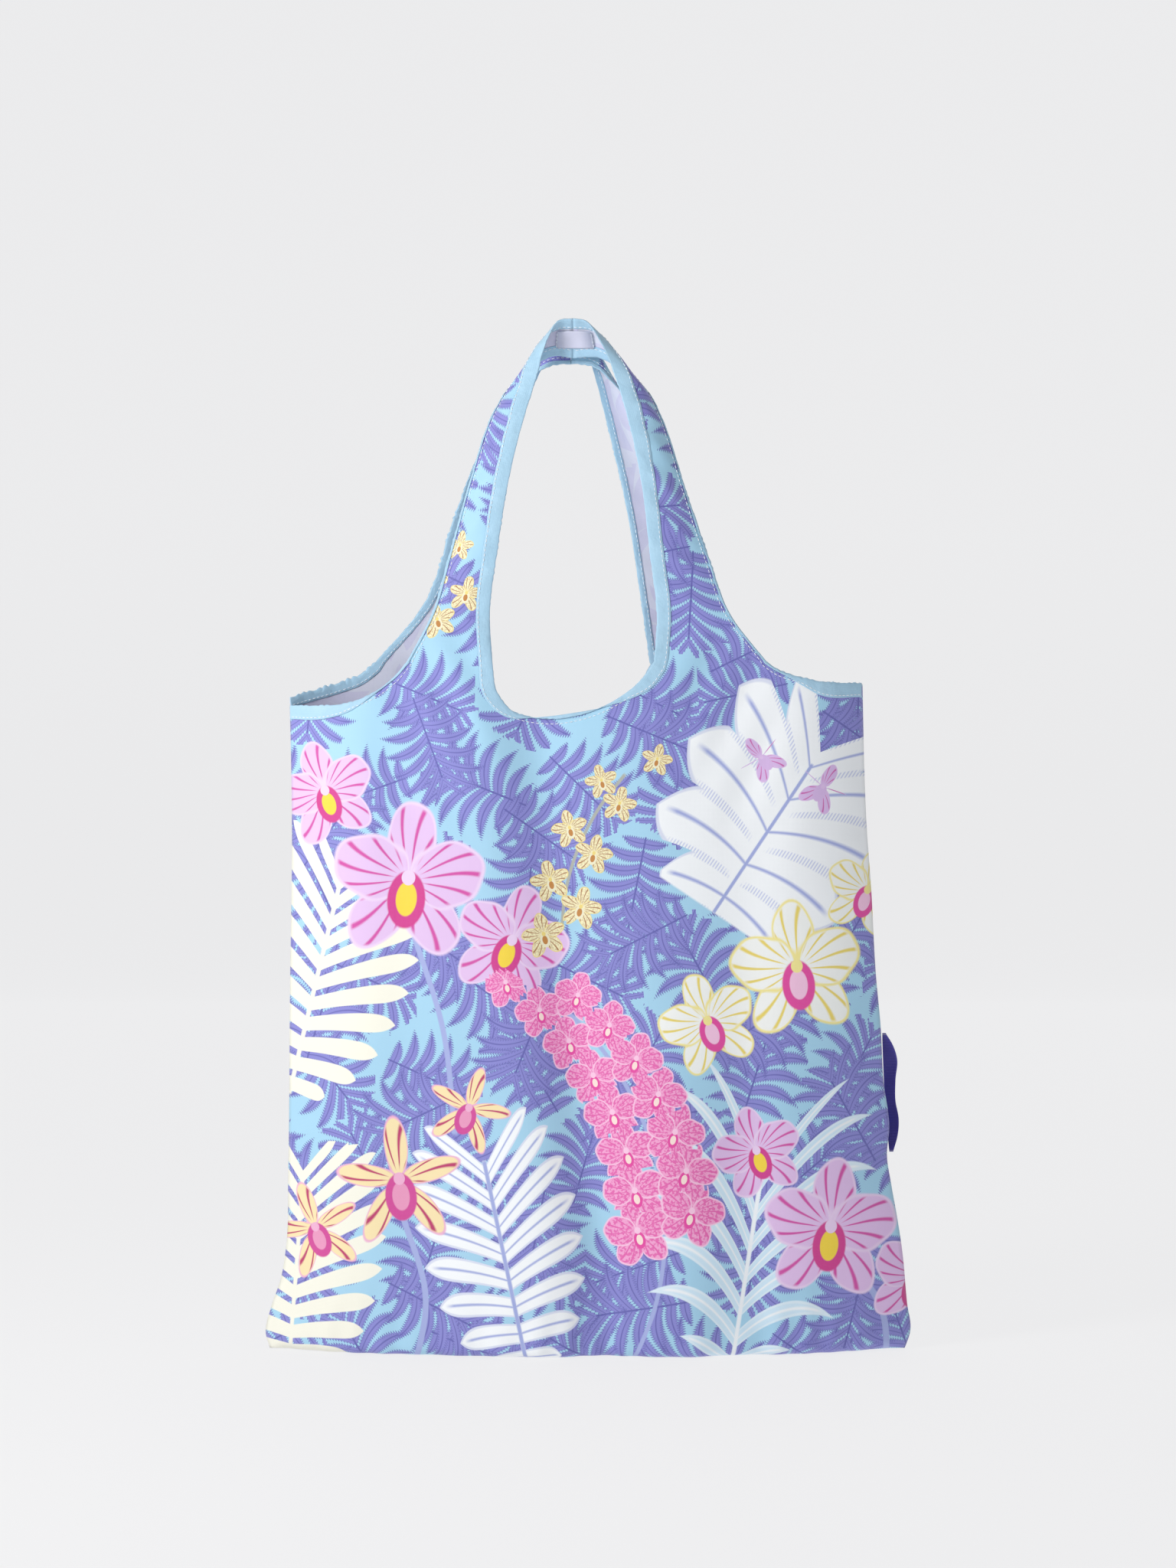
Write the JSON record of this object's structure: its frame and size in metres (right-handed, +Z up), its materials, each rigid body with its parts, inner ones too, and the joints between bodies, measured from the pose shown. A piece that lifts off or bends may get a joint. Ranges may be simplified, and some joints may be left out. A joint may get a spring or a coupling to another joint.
{
  "type": "foldable tote bag",
  "caption": "Soft foldable tote bag with a loop handle on each panel, bound edges, a flat base and a ribbon loop on one side seam for holding it folded.",
  "frame": {"origin": "centre of the bounding box at the base, on the surface that the bag stands on", "axes": "+Z up towards the handles, -Y out of the front panel, +X to the side with the closure loop"},
  "size_m": [0.4431, 0.0922, 0.7068],
  "materials": {
    "printed_cloth": null,
    "binding_tape": "folded light blue bias tape, stitched in white",
    "seam_allowance": "pale reverse of the cloth, overlocked",
    "closure_ribbon": "indigo woven ribbon"
  },
  "bodies": {
    "bag_body": {"front_panel": "printed_cloth", "back_panel": "printed_cloth", "front_neck_binding": "binding_tape", "back_neck_binding": "binding_tape", "front_left_shoulder_binding": "binding_tape", "front_right_shoulder_binding": "binding_tape", "back_left_shoulder_binding": "binding_tape", "back_right_shoulder_binding": "binding_tape", "left_side_seam": "seam_allowance", "right_side_seam": "seam_allowance", "bottom_seam": "seam_allowance"},
    "front_handle": {"front_left_strap": "printed_cloth", "front_right_strap": "printed_cloth", "front_handle_inner_binding": "binding_tape", "front_handle_outer_binding": "binding_tape", "front_handle_seam": "printed_cloth"},
    "back_handle": {"back_left_strap": "printed_cloth", "back_right_strap": "printed_cloth", "back_handle_inner_binding": "binding_tape", "back_handle_outer_binding": "binding_tape", "back_handle_seam": "printed_cloth"},
    "closure_loop": {"closure_loop": "closure_ribbon"}
  },
  "joints": [
    {"name": "front_handle_fold", "type": "hinge", "parent": "bag_body", "child": "front_handle", "pos_m": [0, -0.0337, 0.47], "axis": [1, 0, 0], "range_deg": [0, 165]},
    {"name": "back_handle_fold", "type": "hinge", "parent": "bag_body", "child": "back_handle", "pos_m": [0, 0.0337, 0.47], "axis": [-1, 0, 0], "range_deg": [0, 165]},
    {"name": "closure_loop_swing", "type": "hinge", "parent": "bag_body", "child": "closure_loop", "pos_m": [0.207, 0, 0.135], "axis": [-0.0592, 0, 0.9982], "range_deg": [-85, 15]}
  ]
}
